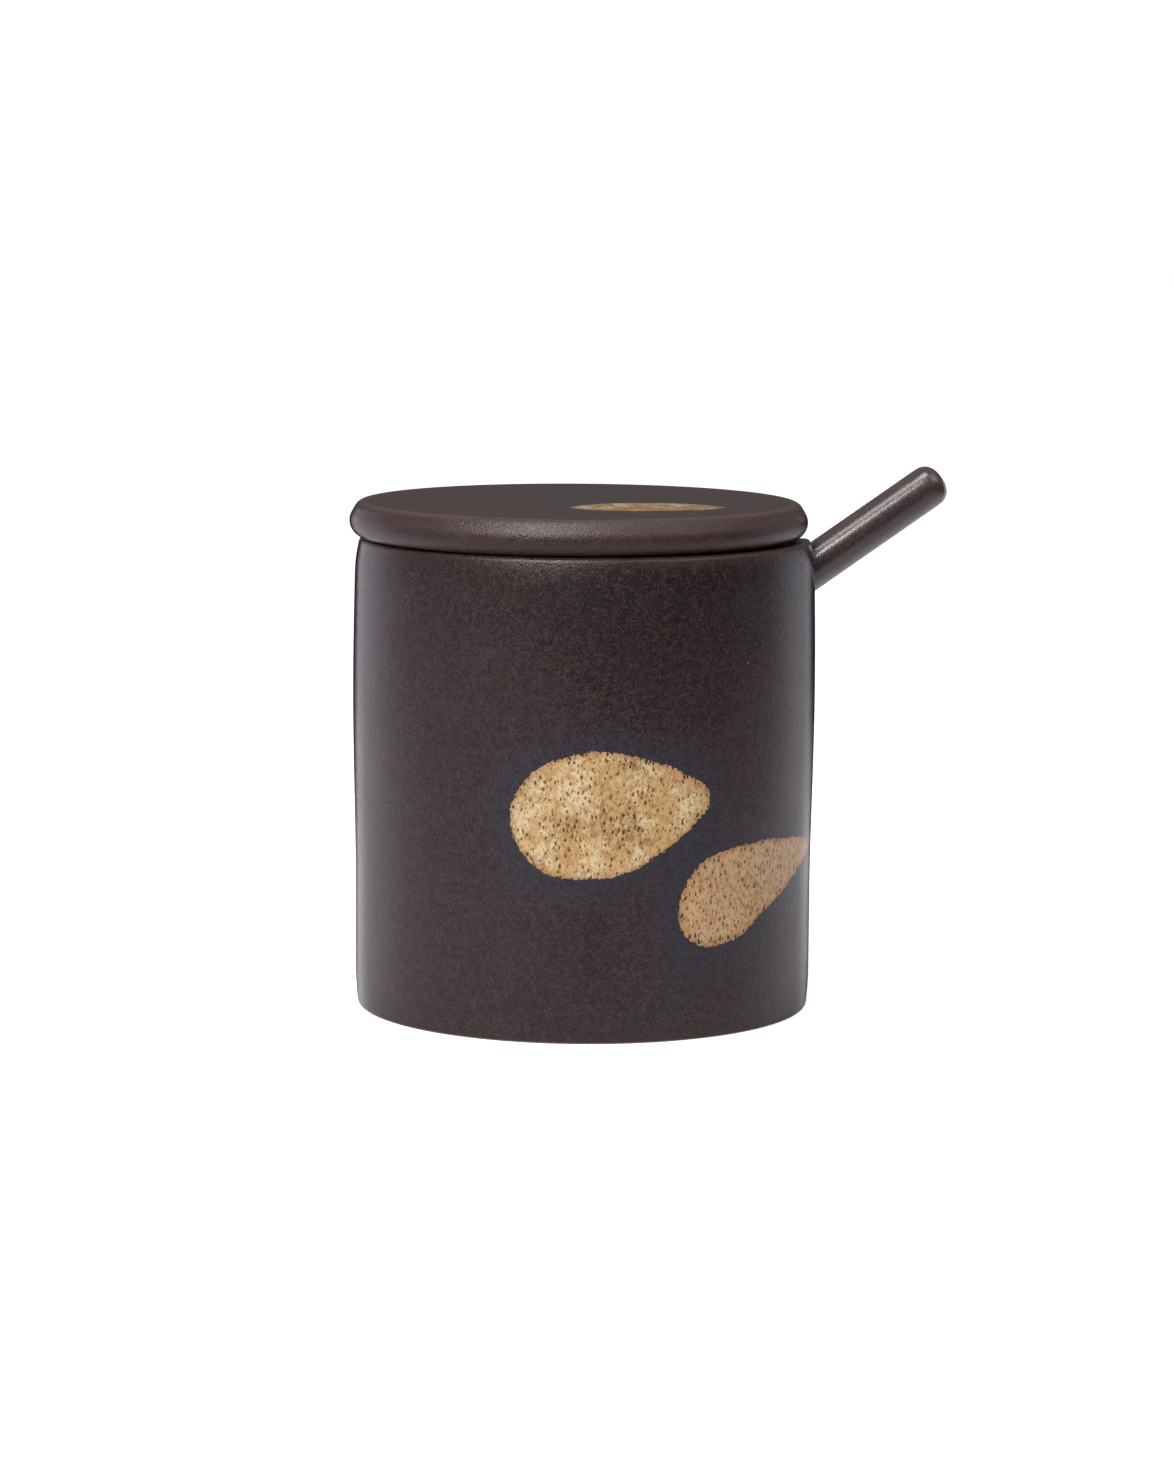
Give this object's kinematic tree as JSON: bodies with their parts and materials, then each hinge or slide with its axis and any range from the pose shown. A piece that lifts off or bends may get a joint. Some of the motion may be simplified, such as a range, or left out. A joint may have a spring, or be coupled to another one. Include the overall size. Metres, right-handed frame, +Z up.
{
  "type": "jam pot",
  "caption": "Round stoneware jam pot with a flanged disc lid and a ladle spoon whose round handle leans out through a notch in the rim.",
  "frame": {"origin": "middle of the foot, in the plane of the table", "axes": "+Z up; +X from the middle of the pot through the notch, the way the spoon's handle leans out; +Y completes a right-handed frame"},
  "size_m": [0.1191, 0.0904, 0.1051],
  "materials": {
    "pot_glaze": "satin dark brown glaze with blue-grey clouds and two tan brushed drops, bare at the foot ring and the rim",
    "lid_glaze": "satin dark brown glaze, one tan brushed drop on top, bare clay on the flange",
    "spoon_glaze": "satin dark brown glaze all over"
  },
  "bodies": {
    "pot": {"pot": "pot_glaze"},
    "lid": {"lid": "lid_glaze"},
    "spoon": {"spoon": "spoon_glaze"}
  },
  "joints": [
    {"name": "lid_lift", "type": "slide", "parent": "pot", "child": "lid", "axis": [0, 0, 1], "range_m": [0, 0.08]},
    {"name": "spoon_tilt", "type": "hinge", "parent": "pot", "child": "spoon", "pos_m": [0.04245, 0, 0.0741], "axis": [0, 1, 0], "range_deg": [0, 15]}
  ]
}
